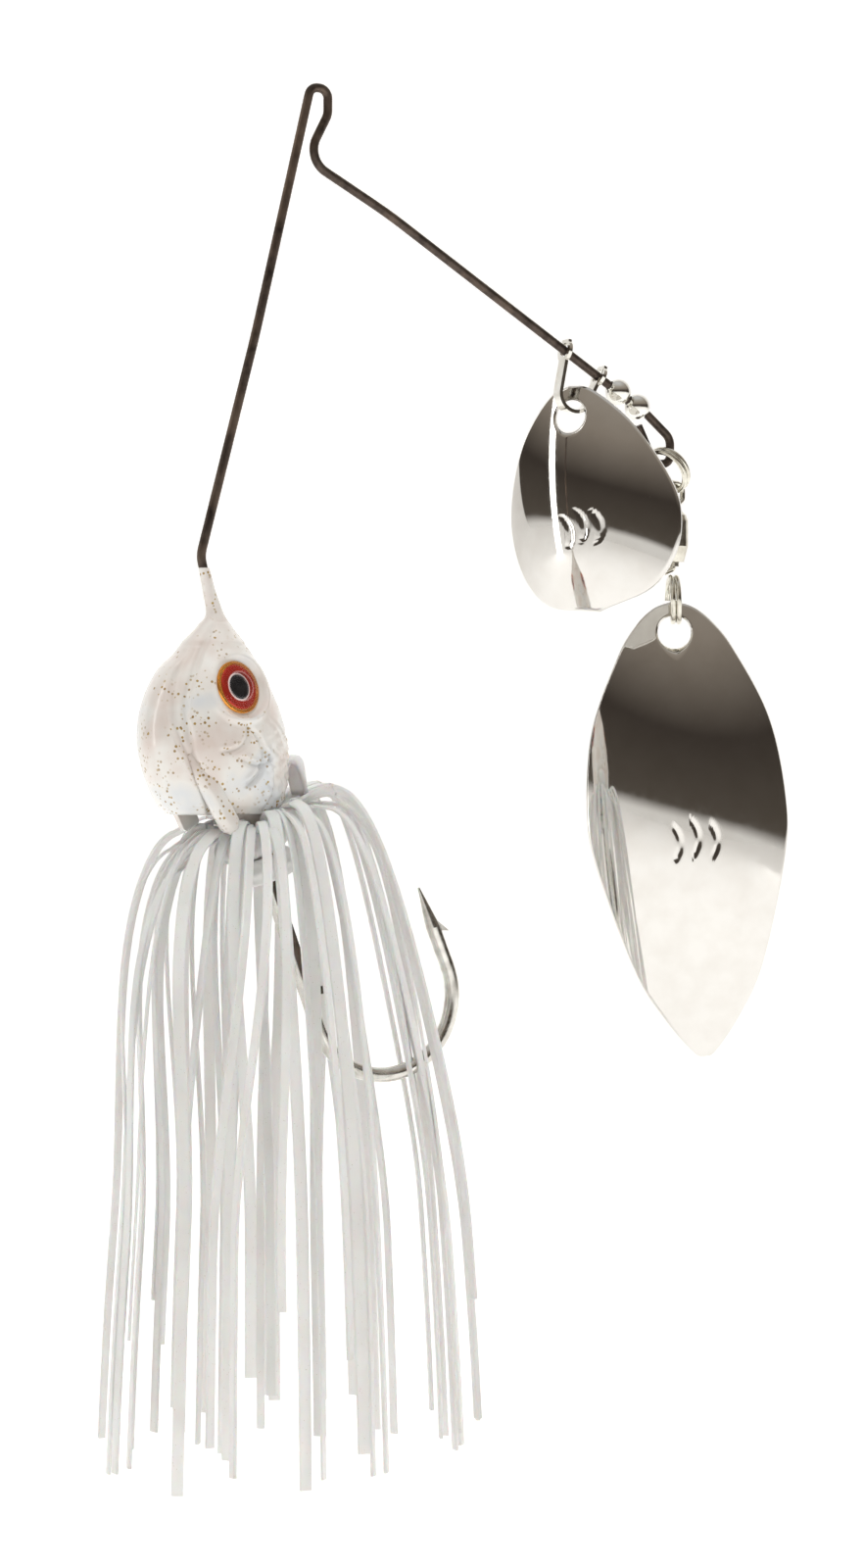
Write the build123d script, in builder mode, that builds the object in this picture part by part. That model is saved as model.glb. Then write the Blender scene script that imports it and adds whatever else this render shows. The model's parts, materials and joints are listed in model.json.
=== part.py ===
from build123d import *
import math
import os

# Double-blade spinnerbait, hanging from its line tie.  Millimetres, +Z up.
# Origin: inside top of the line-tie bend.  The wire lies in the XZ plane,
# with the blades on the +X side and the fish-shaped head below, belly to -X.

# ---- wire form ----
WIRE_D = 0.94
TIE_TOP = WIRE_D / 2
ARM_SLOPE = 31.4            # upper arm, degrees below horizontal
ARM_X, ARM_Z = 17.93, -17.94   # a point on the upper arm's axis
# ---- beads and clevis ----
BEAD_D = 2.8
BEAD_BORE = 1.10
BEAD_1_X = 36.40            # upper bead, where it crosses the arm
BEAD_GAP = 0.06
STRAP_T = 0.40
STRAP_W = 1.40
EAR_W = 2.50
EAR_HOLE_D = 1.50
# ---- rings, swivel ----
RING_R = 2.48               # split ring, to the wire's centre
RING_WIRE = 0.58
RING_PITCH = 0.62
RING_TURNS = 2
RING_END_TURN = -99.2       # turns the upper ring's ends to its side, clear of both links
RING_YAW = 18.0
RING_TILT = 30.0
LINK_GAP = 0.23             # play left where one link hangs in the next
LOOP_SEAT_X, LOOP_SEAT_Z = 41.78, -35.30   # upper ring's wire, resting in the end loop
EYE_WIRE = 0.60
EYE_IN_W = 2.15
BODY_D = 3.00
SHAFT_D = 1.00
# ---- blades ----
BLADE_T = 0.55
COLORADO_YAW = 34.0         # face turned from -X towards -Y
COLORADO_LEAN = 8.5
COLORADO_HOLE_D = 3.60
COLORADO_HANG = 0.48        # hole centre below the strap's centre
WILLOW_YAW = 28.0           # face turned from -Y towards -X
WILLOW_LEAN = 4.3
WILLOW_HOLE_D = 3.70
# ---- hook ----
HOOK_D = 1.60
SHANK_TILT = 20.2
SHANK_X, SHANK_Z = -7.56, -77.05
BEND_R = 8.20
BEND_ANGLE = 182.0
POINT_LEG = 9.0
POINT_TAPER = 4.5
# ---- head ----
EYE_D = 5.50
IRIS_T = 0.60
DOME_H = 1.05
STEM_D = 4.40
COLLAR_T = 1.10
# ---- skirt ----
BUNDLES = 12
BUNDLE_W = 2.60
BUNDLE_T = 0.80
GATHER_R = 6.00
DORSAL_GAP = 48.0           # left free over the hook point, degrees
SKIRT_ROOT_X, SKIRT_ROOT_Z = -7.40, -77.40


def sind(angle):
    return math.sin(math.radians(angle))


def cosd(angle):
    return math.cos(math.radians(angle))


def on_arm(x):
    """Point of the upper arm's axis at this x."""
    return Vector(x, 0, ARM_Z - (x - ARM_X) * math.tan(math.radians(ARM_SLOPE)))


def along_shank(distance):
    """Point of the hook shank's axis, measured down from the head's back."""
    return Vector(SHANK_X + distance * sind(SHANK_TILT), 0, SHANK_Z - distance * cosd(SHANK_TILT))


os.makedirs("parts", exist_ok=True)

arm_dir = Vector(cosd(ARM_SLOPE), 0, -sind(ARM_SLOPE))
shank_dir = Vector(sind(SHANK_TILT), 0, -cosd(SHANK_TILT))
bead_1 = on_arm(BEAD_1_X)
bead_2 = bead_1 + arm_dir * (BEAD_D + BEAD_GAP)

# ================= wire form =================
loop_start = bead_2 + arm_dir * (BEAD_D / 2 + 0.10)
loop_low = loop_start + Vector(1.50, 0, -4.85)
with BuildPart() as wire_form:
    with BuildLine(Plane.XZ) as wire_path:
        FilletPolyline(
            (-12.15, -63.0),
            (-11.80, -55.6),
            (-13.45, -48.65),
            (-7.25, -25.6),
            (-0.95, TIE_TOP),
            (1.06, TIE_TOP),
            (1.06, -2.2),
            (-1.43, -7.03),
            (8.2, -12.03),
            (loop_start.X, loop_start.Z),
            (loop_start.X + 2.95, loop_start.Z - 2.45),
            (loop_low.X + 1.45, loop_low.Z - 0.35),
            (loop_low.X - 0.55, loop_low.Z - 0.55),
            (bead_2.X + 0.10, bead_2.Z - 2.05),
            radius=[6.0, 3.0, 120.0, 1.0, 1.0, 2.0, 2.5, 60.0, 3.0, 1.6, 0.95, 0.95],
        )
    with BuildSketch(Plane(origin=wire_path.line @ 0, z_dir=wire_path.line % 0)):
        Circle(WIRE_D / 2)
    sweep()
wire_form.part.label = "wire_form"
export_step(wire_form.part, "parts/wire_form.step")

# ================= hook, with barb =================
shank_top = along_shank(-9.5)
bend_start = along_shank(21.5)
with BuildPart() as hook:
    with BuildLine(Plane.XZ) as hook_path:
        shank_line = Line((shank_top.X, shank_top.Z), (bend_start.X, bend_start.Z))
        bend_arc = JernArc(
            start=(bend_start.X, bend_start.Z),
            tangent=(shank_dir.X, shank_dir.Z),
            radius=BEND_R,
            arc_size=BEND_ANGLE,
        )
        leg_dir = bend_arc % 1
        leg_end = (bend_arc @ 1) + leg_dir * (POINT_LEG - POINT_TAPER)
        leg_line = Line(bend_arc @ 1, leg_end)
    with BuildSketch(Plane(origin=hook_path.line @ 0, z_dir=hook_path.line % 0)):
        Circle(HOOK_D / 2)
    sweep()
    leg_top = hook_path.line @ 1
    leg_axis = hook_path.line % 1
    with BuildSketch(Plane(origin=leg_top, z_dir=leg_axis)):
        Circle(HOOK_D / 2)
    with BuildSketch(Plane(origin=leg_top + leg_axis * POINT_TAPER, z_dir=leg_axis)):
        Circle(0.12)
    loft()
    # barb: a thin sliver raised from the inner side of the point leg
    barb_root = leg_top - leg_axis * 0.6
    inward = leg_axis.cross(Vector(0, 1, 0)).normalized() * -1
    barb_front = barb_root + leg_axis * 2.2
    barb_tip = barb_root + inward * 1.55 - leg_axis * 0.5
    barb_back = barb_root + inward * 0.5
    barb_heel = barb_root - leg_axis * 0.4
    with BuildSketch(Plane.XZ):
        with BuildLine():
            Polyline(
                (barb_front.X, barb_front.Z),
                (barb_tip.X, barb_tip.Z),
                (barb_back.X, barb_back.Z),
                (barb_heel.X, barb_heel.Z),
                close=True,
            )
        make_face()
    extrude(amount=0.30, both=True)
hook.part.label = "hook"
export_step(hook.part, "parts/hook.step")

# ================= trailer keeper, a light wire lashed along the shank =================
with BuildPart() as trailer_keeper:
    keeper_plane = Plane(origin=(0, -(HOOK_D / 2 + 0.42), 0), x_dir=(1, 0, 0), z_dir=(0, -1, 0))
    keeper_top = along_shank(-1.0)
    keeper_low = along_shank(17.6)
    with BuildLine(keeper_plane) as keeper_path:
        FilletPolyline(
            (keeper_top.X, keeper_top.Z),
            (keeper_low.X, keeper_low.Z),
            (keeper_low.X + 1.55, keeper_low.Z + 0.25),
            radius=0.7,
        )
    with BuildSketch(Plane(origin=keeper_path.line @ 0, z_dir=keeper_path.line % 0)):
        Circle(0.42)
    sweep()
trailer_keeper.part.label = "trailer_keeper"
export_step(trailer_keeper.part, "parts/trailer_keeper.step")

# ================= cast head =================
# level: (height, centre x, half depth fore and aft, half thickness)
HEAD_LEVELS = [
    (-54.6, -11.75, 0.95, 0.85),
    (-57.4, -12.0, 3.35, 2.10),
    (-61.0, -12.5, 5.40, 3.75),
    (-64.2, -12.45, 6.80, 4.70),
    (-67.4, -12.2, 7.40, 5.15),
    (-70.4, -11.85, 7.25, 5.10),
    (-73.0, -11.5, 6.60, 4.70),
    (-75.0, -11.3, 5.70, 4.10),
]
eye_at = Vector(-11.15, 4.05, -62.2)
eye_normal = Vector(0.30, 0.92, 0.25).normalized()
with BuildPart() as head:
    for height, centre, depth, thickness in HEAD_LEVELS:
        with BuildSketch(Plane.XY.offset(height)):
            with Locations((centre, 0)):
                Ellipse(depth, thickness)
    loft()
    # paint-covered neck that climbs the wire
    with BuildSketch(Plane(origin=(-13.0, 0, -50.2), z_dir=(0.262, 0, -0.965))):
        Circle(0.60)
    with BuildSketch(Plane(origin=(-11.80, 0, -55.0), z_dir=(0.262, 0, -0.965))):
        Circle(0.95)
    loft()
    # pectoral flap on each side, running down and back past the head's rear edge
    for side in (-1, 1):
        with BuildSketch(Plane(origin=(-13.6, side * 4.75, -69.2), x_dir=(0, 1, 0), z_dir=(0.53, 0, -0.848))):
            RectangleRounded(1.30, 2.10, 0.45)
        extrude(amount=8.4)
    # tapered stem for the skirt, cast around the shank
    with BuildSketch(Plane(origin=along_shank(-3.5), z_dir=shank_dir)):
        Circle(STEM_D / 2)
    extrude(amount=9.0)
    # seats of the cast-in wires and of the eyes
    add(wire_form.part, mode=Mode.SUBTRACT)
    add(hook.part, mode=Mode.SUBTRACT)
    add(trailer_keeper.part, mode=Mode.SUBTRACT)
    for side in (-1, 1):
        seat_normal = Vector(eye_normal.X, side * eye_normal.Y, eye_normal.Z)
        seat_at = Vector(eye_at.X, side * eye_at.Y, eye_at.Z)
        with BuildSketch(Plane(origin=seat_at - seat_normal * IRIS_T, z_dir=seat_normal)):
            Circle(EYE_D / 2)
        extrude(amount=4.0, mode=Mode.SUBTRACT)
head.part.label = "head"
export_step(head.part, "parts/head.step")

# ================= eyes: foil iris under a clear dome =================
for side, name in ((-1, "left"), (1, "right")):
    seat_normal = Vector(eye_normal.X, side * eye_normal.Y, eye_normal.Z)
    seat_at = Vector(eye_at.X, side * eye_at.Y, eye_at.Z)
    with BuildPart() as eye_iris:
        with BuildSketch(Plane(origin=seat_at - seat_normal * IRIS_T, z_dir=seat_normal)):
            Circle(EYE_D / 2)
        extrude(amount=IRIS_T)
    eye_iris.part.label = "eye_iris_" + name
    export_step(eye_iris.part, "parts/eye_iris_" + name + ".step")
    dome_r = ((EYE_D / 2) ** 2 + DOME_H**2) / (2 * DOME_H)
    with BuildPart() as eye_dome:
        with BuildSketch(Plane(origin=seat_at, z_dir=seat_normal)):
            Circle(EYE_D / 2)
        extrude(amount=DOME_H + 0.1)
        with Locations(Location(seat_at + seat_normal * (DOME_H - dome_r))):
            Sphere(dome_r, mode=Mode.INTERSECT)
    eye_dome.part.label = "eye_dome_" + name
    export_step(eye_dome.part, "parts/eye_dome_" + name + ".step")

# ================= skirt: gathered root, collar, hanging bundles =================
with BuildPart() as skirt_root:
    with BuildSketch(Plane.XY.offset(SKIRT_ROOT_Z - 1.3)):
        with Locations((SKIRT_ROOT_X, 0)):
            Circle(GATHER_R)
    extrude(amount=1.9)
    add(head.part, mode=Mode.SUBTRACT)
    add(hook.part, mode=Mode.SUBTRACT)
    add(trailer_keeper.part, mode=Mode.SUBTRACT)
skirt_root.part.label = "skirt_root"
export_step(skirt_root.part, "parts/skirt_root.step")

collar_top = along_shank(2.4)
with BuildPart() as skirt_collar:
    with BuildSketch(Plane(origin=collar_top, z_dir=shank_dir)):
        Circle(STEM_D / 2 + COLLAR_T)
        Circle(STEM_D / 2, mode=Mode.SUBTRACT)
    extrude(amount=2.6)
    add(skirt_root.part, mode=Mode.SUBTRACT)
    add(trailer_keeper.part, mode=Mode.SUBTRACT)
skirt_collar.part.label = "skirt_collar"
export_step(skirt_collar.part, "parts/skirt_collar.step")

for n in range(BUNDLES):
    azimuth = DORSAL_GAP / 2 + n * (360 - DORSAL_GAP) / (BUNDLES - 1)
    shift = 3.2 * cosd(azimuth)
    drop = 58.0 + 7.5 * sind(azimuth * 2 + 40) + 4.0 * cosd(azimuth * 5)
    reach = 19.2 + shift
    outward = Vector(cosd(azimuth), sind(azimuth), 0)
    plane = Plane(origin=(SKIRT_ROOT_X, 0, SKIRT_ROOT_Z), x_dir=outward, z_dir=(outward.Y, -outward.X, 0))
    with BuildPart() as bundle:
        with BuildLine(plane) as bundle_path:
            FilletPolyline(
                (GATHER_R * 0.95, 0.0),
                (11.0 + shift * 0.4, 0.6),
                (15.4 + shift * 0.75, -20.0),
                (reach, -drop),
                radius=[2.8, 40.0],
            )
        with BuildSketch(Plane(origin=bundle_path.line @ 0, x_dir=(0, 0, 1), z_dir=bundle_path.line % 0)):
            Rectangle(BUNDLE_T, BUNDLE_W)
        sweep()
        add(skirt_root.part, mode=Mode.SUBTRACT)
    label = "skirt_bundle_%02d" % (n + 1)
    bundle.part.label = label
    export_step(bundle.part, "parts/" + label + ".step")

# ================= beads =================
for centre, name in ((bead_1, "bead_upper"), (bead_2, "bead_lower")):
    with BuildPart() as bead:
        with Locations(Location(centre)):
            Sphere(BEAD_D / 2)
        with BuildSketch(Plane(origin=centre - arm_dir * BEAD_D, z_dir=arm_dir)):
            Circle(BEAD_BORE / 2)
        extrude(amount=2 * BEAD_D, mode=Mode.SUBTRACT)
    bead.part.label = name
    export_step(bead.part, "parts/" + name + ".step")

# ================= folded strap clevis =================
ear_1 = on_arm(29.72)
ear_2 = on_arm(33.95)
dir_1 = Vector(sind(11.3), 0, cosd(11.3))
dir_2 = Vector(sind(25.0), 0, cosd(25.0))
left_top = ear_1 + dir_1 * 1.25
left_low = ear_1 - dir_1 * 4.3
right_top = ear_2 + dir_2 * 1.25
with BuildPart() as clevis:
    with BuildLine(Plane.XZ) as strap_line:
        left_leg = Line((left_top.X, left_top.Z), (left_low.X, left_low.Z))
        strap_bend = TangentArc(
            (left_low.X, left_low.Z),
            (left_low.X + 3.85, left_low.Z - 0.45),
            tangent=(-dir_1.X, -dir_1.Z),
        )
        Line(strap_bend @ 1, (right_top.X, right_top.Z))
    with BuildSketch(Plane(origin=strap_line.line @ 0, x_dir=(0, 1, 0), z_dir=strap_line.line % 0)):
        Rectangle(STRAP_W, STRAP_T)
    sweep(transition=Transition.RIGHT)
    # rounded ears around the wire holes
    for ear, plate in ((ear_1, dir_1), (ear_2, dir_2)):
        face_dir = plate.cross(Vector(0, 1, 0))
        with BuildSketch(Plane(origin=ear - face_dir * (STRAP_T / 2), x_dir=(0, 1, 0), z_dir=face_dir)):
            Circle(EAR_W / 2)
        extrude(amount=STRAP_T)
    for ear in (ear_1, ear_2):
        with BuildSketch(Plane(origin=ear - arm_dir * 1.2, z_dir=arm_dir)):
            Circle(EAR_HOLE_D / 2)
        extrude(amount=2.4, mode=Mode.SUBTRACT)
clevis.part.label = "clevis"
export_step(clevis.part, "parts/clevis.step")
strap_low = strap_bend @ 0.5

# ================= blades: dished shells with a rounded hole =================
# Each blade's own plane: x across, y up its length, z out of its convex face,
# with the hole's centre as origin.
colorado_face = Vector(-cosd(COLORADO_YAW), -sind(COLORADO_YAW), 0)
colorado_across = Vector(sind(COLORADO_YAW), -cosd(COLORADO_YAW), 0)
colorado_up = Vector(0, 0, cosd(COLORADO_LEAN)) - colorado_across * sind(COLORADO_LEAN)
colorado_side = colorado_up.cross(colorado_face)
colorado_hole = Vector(strap_low.X - 0.32, 0, strap_low.Z - COLORADO_HANG)
COLORADO_HALF = [
    (2.3, 2.75), (5.0, 0.2), (7.3, -3.0), (9.5, -8.0),
    (10.15, -12.0), (9.1, -16.4), (6.0, -19.9),
]
COLORADO_TOP, COLORADO_BOTTOM = 3.45, -21.5
COLORADO_CROSS_R, COLORADO_LONG_R, COLORADO_CREST = 15.5, 46.0, -9.5

willow_face = Vector(-sind(WILLOW_YAW), -cosd(WILLOW_YAW), 0)
willow_across = Vector(cosd(WILLOW_YAW), -sind(WILLOW_YAW), 0)
willow_up = Vector(0, 0, cosd(WILLOW_LEAN)) - willow_across * sind(WILLOW_LEAN)
WILLOW_HALF = [
    (2.1, 2.8), (4.2, 1.0), (6.5, -2.4), (9.9, -10.2), (11.1, -19.0),
    (10.5, -25.6), (7.1, -37.3), (4.1, -42.9), (1.2, -46.7),
]
WILLOW_TOP, WILLOW_BOTTOM = 3.45, -47.2
WILLOW_CROSS_R, WILLOW_LONG_R, WILLOW_CREST = 19.0, 95.0, -20.0

# ================= split rings, swivel =================
ring_side = Vector(-sind(RING_YAW), cosd(RING_YAW), 0)
ring_out = Vector(cosd(RING_YAW), sind(RING_YAW), 0)
ring_down = ring_out * sind(RING_TILT) - Vector(0, 0, cosd(RING_TILT))
ring_axis = ring_side.cross(ring_down).normalized()
link = RING_WIRE / 2 + EYE_WIRE / 2 + LINK_GAP

# loop of the wire form that carries the upper ring: its inside bottom point
loop_inside = Vector(LOOP_SEAT_X, 0, LOOP_SEAT_Z)
ring_upper_at = loop_inside + ring_down * RING_R
ring_upper_low = ring_upper_at + ring_down * RING_R
swivel_x, swivel_y = ring_upper_low.X, ring_upper_low.Y
top_eye_z = ring_upper_low.Z + link
body_top_z = top_eye_z - 3.0
BODY_H = 5.7
body_low_z = body_top_z - BODY_H
low_eye_z = body_low_z - 2.5
ring_lower_at = Vector(swivel_x, swivel_y, low_eye_z + link - RING_R)
ring_lower_axis = willow_across
willow_hole = ring_lower_at + Vector(0, 0, -RING_R + RING_WIRE / 2 + LINK_GAP + 0.22 - WILLOW_HOLE_D / 2)


def blade(face, up, hole, half, top, bottom, cross_r, long_r, crest, hole_d):
    """Dished blade: the outline cut from a shell curved both along and across."""
    flat = Plane(origin=hole, x_dir=up.cross(face), z_dir=face)
    with BuildPart() as shell:
        with BuildSketch(flat):
            with BuildLine():
                left = [(-x, y) for x, y in half]
                Spline(*half)
                Spline(*left)
                ThreePointArc(half[0], (0, top), left[0])
                ThreePointArc(half[-1], (0, bottom), left[-1])
            make_face()
            Circle(hole_d / 2, mode=Mode.SUBTRACT)
        extrude(amount=12, both=True)
        # section across the blade at its crest, swept around the long radius
        section = Plane(origin=hole + up * crest, x_dir=flat.x_dir, z_dir=up)
        rise = long_r - (long_r**2 - crest**2) ** 0.5
        side = -1 if section.y_dir.dot(face) < 0 else 1
        with BuildSketch(section):
            with Locations((0, side * (rise - cross_r))):
                Circle(cross_r)
                Circle(cross_r - BLADE_T, mode=Mode.SUBTRACT)
            with Locations((0, side * (rise - 2 * cross_r))):
                Rectangle(4 * cross_r, 2 * cross_r, mode=Mode.SUBTRACT)
        axis_at = hole + up * crest + face * (rise - long_r)
        revolve(axis=Axis(axis_at, flat.x_dir), revolution_arc=360, mode=Mode.INTERSECT)
    return shell.part


colorado_blade = blade(
    colorado_face, colorado_up, colorado_hole, COLORADO_HALF, COLORADO_TOP, COLORADO_BOTTOM,
    COLORADO_CROSS_R, COLORADO_LONG_R, COLORADO_CREST, COLORADO_HOLE_D,
)
colorado_blade.label = "colorado_blade"
export_step(colorado_blade, "parts/colorado_blade.step")
willow_blade = blade(
    willow_face, willow_up, willow_hole, WILLOW_HALF, WILLOW_TOP, WILLOW_BOTTOM,
    WILLOW_CROSS_R, WILLOW_LONG_R, WILLOW_CREST, WILLOW_HOLE_D,
)
willow_blade.label = "willow_blade"
export_step(willow_blade, "parts/willow_blade.step")

for centre, axis, end_turn, name in (
    (ring_upper_at, ring_axis, RING_END_TURN, "split_ring_upper"),
    (ring_lower_at, ring_lower_axis, 0.0, "split_ring_lower"),
):
    coil = Helix(
        pitch=RING_PITCH,
        height=RING_PITCH * RING_TURNS,
        radius=RING_R,
        center=centre - axis * (RING_PITCH * RING_TURNS / 2),
        direction=axis,
    ).rotate(Axis(centre, axis), end_turn)
    with BuildPart() as split_ring:
        with BuildSketch(Plane(origin=coil @ 0, z_dir=coil % 0)):
            Circle(RING_WIRE / 2)
        sweep(path=coil, is_frenet=True)
    split_ring.part.label = name
    export_step(split_ring.part, "parts/" + name + ".step")

# swivel body: barrel with a shoulder that keeps the rotor's button
with BuildPart() as swivel_body:
    with BuildSketch(Plane(origin=(swivel_x, swivel_y, 0), x_dir=(1, 0, 0), z_dir=(0, -1, 0))):
        with BuildLine():
            Polyline(
                (0, body_top_z - 1.2),
                (0, body_top_z),
                (0.75, body_top_z),
                (1.30, body_top_z - 0.55),
                (BODY_D / 2, body_top_z - 1.15),
                (BODY_D / 2, body_low_z + 1.7),
                (1.05, body_low_z),
                (SHAFT_D / 2 + 0.06, body_low_z),
                (SHAFT_D / 2 + 0.06, body_low_z + 1.0),
                (1.12, body_low_z + 1.9),
                (1.12, body_top_z - 1.2),
                close=True,
            )
        make_face()
    revolve(axis=Axis((swivel_x, swivel_y, 0), (0, 0, 1)))
swivel_body.part.label = "swivel_body"
export_step(swivel_body.part, "parts/swivel_body.step")

half_w = (EYE_IN_W + EYE_WIRE) / 2
with BuildPart() as swivel_top_eye:
    eye_plane = Plane(origin=(swivel_x, swivel_y, 0), x_dir=ring_out, z_dir=ring_out.cross(Vector(0, 0, 1)))
    with BuildLine(eye_plane):
        FilletPolyline(
            (-0.32, body_top_z),
            (-0.32, body_top_z + 0.45),
            (-half_w, body_top_z + 1.3),
            (-half_w, top_eye_z),
            (half_w, top_eye_z),
            (half_w, body_top_z + 1.3),
            (0.32, body_top_z + 0.45),
            (0.32, body_top_z),
            radius=[0.2, 0.5, 1.0, 1.0, 0.5, 0.2],
        )
    with BuildSketch(Plane(origin=Vector(swivel_x, swivel_y, body_top_z) - ring_out * 0.32, z_dir=(0, 0, 1))):
        Circle(EYE_WIRE / 2)
    sweep()
swivel_top_eye.part.label = "swivel_top_eye"
export_step(swivel_top_eye.part, "parts/swivel_top_eye.step")

# rotor: button inside the barrel, shaft out through the bottom, lower eye
with BuildPart() as swivel_rotor:
    with BuildSketch(Plane(origin=(swivel_x, swivel_y, 0), x_dir=(1, 0, 0), z_dir=(0, -1, 0))):
        with BuildLine():
            Polyline(
                (0, body_top_z - 1.30),
                (0.85, body_top_z - 1.30),
                (1.00, body_top_z - 1.55),
                (1.00, body_low_z + 2.75),
                (SHAFT_D / 2, body_low_z + 2.45),
                (SHAFT_D / 2, body_low_z - 0.50),
                (0, body_low_z - 0.50),
                close=True,
            )
        make_face()
    revolve(axis=Axis((swivel_x, swivel_y, 0), (0, 0, 1)))
    rotor_plane = Plane(
        origin=(swivel_x, swivel_y, 0),
        x_dir=willow_across,
        z_dir=willow_across.cross(Vector(0, 0, 1)),
    )
    with BuildLine(rotor_plane) as eye_path:
        FilletPolyline(
            (-0.18, body_low_z - 0.45),
            (-0.18, body_low_z - 0.75),
            (-half_w, body_low_z - 1.3),
            (-half_w, low_eye_z),
            (half_w, low_eye_z),
            (half_w, body_low_z - 1.3),
            (0.18, body_low_z - 0.75),
            (0.18, body_low_z - 0.45),
            radius=[0.15, 0.4, 1.0, 1.0, 0.4, 0.15],
        )
    with BuildSketch(Plane(origin=eye_path.line @ 0, z_dir=eye_path.line % 0)):
        Circle(EYE_WIRE / 2)
    sweep()
swivel_rotor.part.label = "swivel_rotor"
export_step(swivel_rotor.part, "parts/swivel_rotor.step")

# bearing: ring of balls in a thin cage between the shaft and the lower shoulder
with BuildPart() as swivel_bearing:
    with BuildSketch(Plane.XY.offset(body_low_z + 2.10)):
        with Locations((swivel_x, swivel_y)):
            Circle(0.92)
            Circle(0.62, mode=Mode.SUBTRACT)
    extrude(amount=0.16)
    with Locations(Location((swivel_x, swivel_y, body_low_z + 2.18))):
        with PolarLocations(0.77, 6):
            Sphere(0.24)
swivel_bearing.part.label = "swivel_bearing"
export_step(swivel_bearing.part, "parts/swivel_bearing.step")
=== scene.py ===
import json
import math
import random

import bpy
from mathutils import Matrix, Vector


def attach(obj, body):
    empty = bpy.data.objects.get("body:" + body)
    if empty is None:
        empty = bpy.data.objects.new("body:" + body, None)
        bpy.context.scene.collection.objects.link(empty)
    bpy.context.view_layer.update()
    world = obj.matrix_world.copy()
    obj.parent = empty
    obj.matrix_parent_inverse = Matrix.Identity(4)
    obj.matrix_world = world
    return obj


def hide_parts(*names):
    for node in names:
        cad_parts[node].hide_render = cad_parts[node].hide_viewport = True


MM = 0.001
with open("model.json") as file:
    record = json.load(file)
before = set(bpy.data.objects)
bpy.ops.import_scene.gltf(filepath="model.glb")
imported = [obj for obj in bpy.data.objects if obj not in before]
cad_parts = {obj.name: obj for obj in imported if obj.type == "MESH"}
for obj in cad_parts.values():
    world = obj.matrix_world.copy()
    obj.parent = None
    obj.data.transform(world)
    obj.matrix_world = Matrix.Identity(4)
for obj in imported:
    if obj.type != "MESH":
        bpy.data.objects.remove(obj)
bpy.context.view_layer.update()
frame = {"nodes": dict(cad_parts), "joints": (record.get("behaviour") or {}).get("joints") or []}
joints = {j["name"]: j for j in frame["joints"]}
rng = random.Random(7)


# ---------------------------------------------------------------- materials
def material(name):
    mat = bpy.data.materials.new(name)
    mat.use_nodes = True
    tree = mat.node_tree
    tree.nodes.clear()
    out = tree.nodes.new("ShaderNodeOutputMaterial")
    shader = tree.nodes.new("ShaderNodeBsdfPrincipled")
    tree.links.new(shader.outputs[0], out.inputs[0])
    return mat, tree, shader


def texture(tree, kind, **values):
    """A texture node in object coordinates; scale is per metre."""
    node = tree.nodes.new(kind)
    place = tree.nodes.get("place") or tree.nodes.new("ShaderNodeTexCoord")
    place.name = "place"
    tree.links.new(place.outputs["Object"], node.inputs["Vector"])
    for key, value in values.items():
        node.inputs[key].default_value = value
    return node


def ramp(tree, source, stops):
    node = tree.nodes.new("ShaderNodeValToRGB")
    node.color_ramp.elements[0].position, node.color_ramp.elements[0].color = stops[0]
    node.color_ramp.elements[1].position, node.color_ramp.elements[1].color = stops[1]
    for position, colour in stops[2:]:
        node.color_ramp.elements.new(position).color = colour
    tree.links.new(source, node.inputs["Fac"])
    return node.outputs["Color"]


def blend_colour(tree, fac, a, b):
    node = tree.nodes.new("ShaderNodeMix")
    node.data_type = "RGBA"
    for socket, value in ((node.inputs["Factor"], fac), (node.inputs[6], a), (node.inputs[7], b)):
        if isinstance(value, bpy.types.NodeSocket):
            tree.links.new(value, socket)
        else:
            socket.default_value = value
    return node.outputs[2]


def bump(tree, shader, height, strength, distance):
    node = tree.nodes.new("ShaderNodeBump")
    node.inputs["Strength"].default_value = strength
    node.inputs["Distance"].default_value = distance
    tree.links.new(height, node.inputs["Height"])
    tree.links.new(node.outputs[0], shader.inputs["Normal"])


def metal(name, colour, dark, roughness, spread, scale, bump_strength=0.05):
    """Plated or drawn metal: slightly uneven colour and polish, with fine marks."""
    mat, tree, shader = material(name)
    shader.inputs["Metallic"].default_value = 1.0
    noise = texture(tree, "ShaderNodeTexNoise", Scale=scale, Detail=6.0)
    tree.links.new(
        ramp(tree, noise.outputs["Fac"], [(0.30, (*dark, 1)), (0.62, (*colour, 1))]),
        shader.inputs["Base Color"],
    )
    fine = texture(tree, "ShaderNodeTexNoise", Scale=scale * 4, Detail=8.0)
    low, high = roughness, roughness + spread
    tree.links.new(
        ramp(tree, fine.outputs["Fac"], [(0.35, (low,) * 3 + (1,)), (0.75, (high,) * 3 + (1,))]),
        shader.inputs["Roughness"],
    )
    bump(tree, shader, fine.outputs["Fac"], bump_strength, 0.00002)
    return mat


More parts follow.
